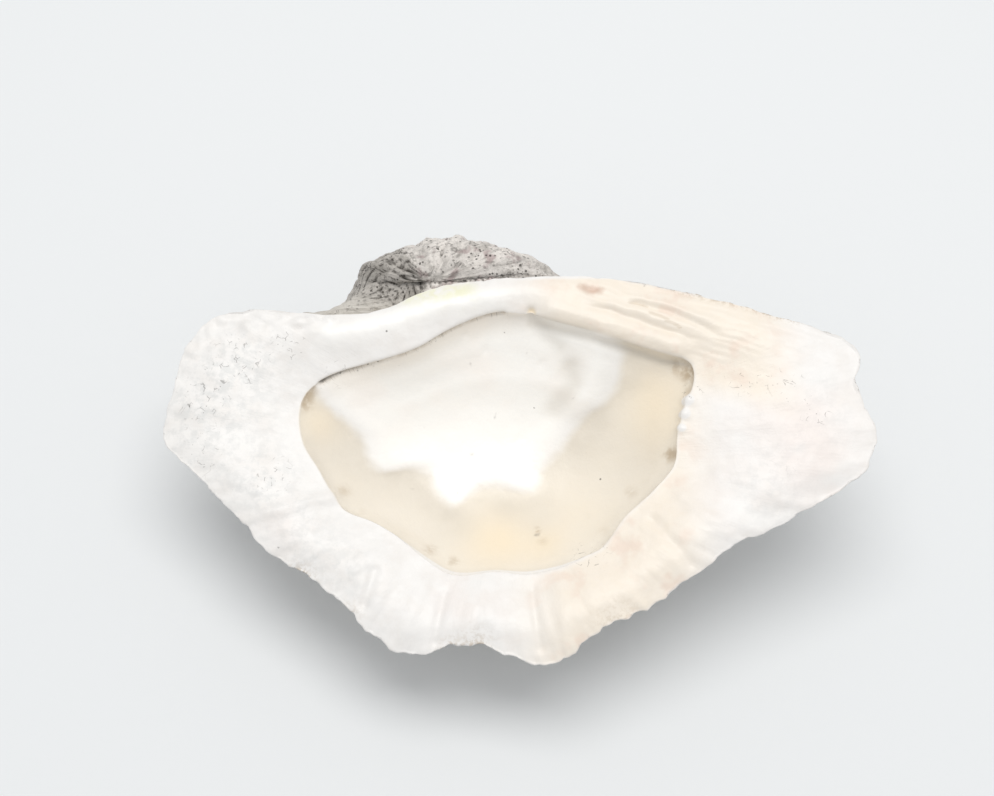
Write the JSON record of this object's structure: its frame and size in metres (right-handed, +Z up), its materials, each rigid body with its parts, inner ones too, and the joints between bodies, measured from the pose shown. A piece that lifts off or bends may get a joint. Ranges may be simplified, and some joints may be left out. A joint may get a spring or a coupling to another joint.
{
  "type": "giant clam shell valve",
  "caption": "One valve of an elongate giant clam lying on its back: thick white rim, deep angular bowl open upward, broad ribs outside and a coiled beak behind the hinge.",
  "frame": {"origin": "on the ground, under the middle of the shell's bounding box, as it lies with the bowl up", "axes": "+Z up; +X along the hinge toward the shell's long end; +Y from the scalloped front toward the hinge and beak"},
  "size_m": [0.297, 0.1932, 0.0874],
  "materials": {
    "shell": "satin chalk-white rim, smoother cream and amber bowl, rough grey-brown weathered outside and grey beak"
  },
  "bodies": {
    "root": {"valve": "shell"}
  },
  "joints": []
}
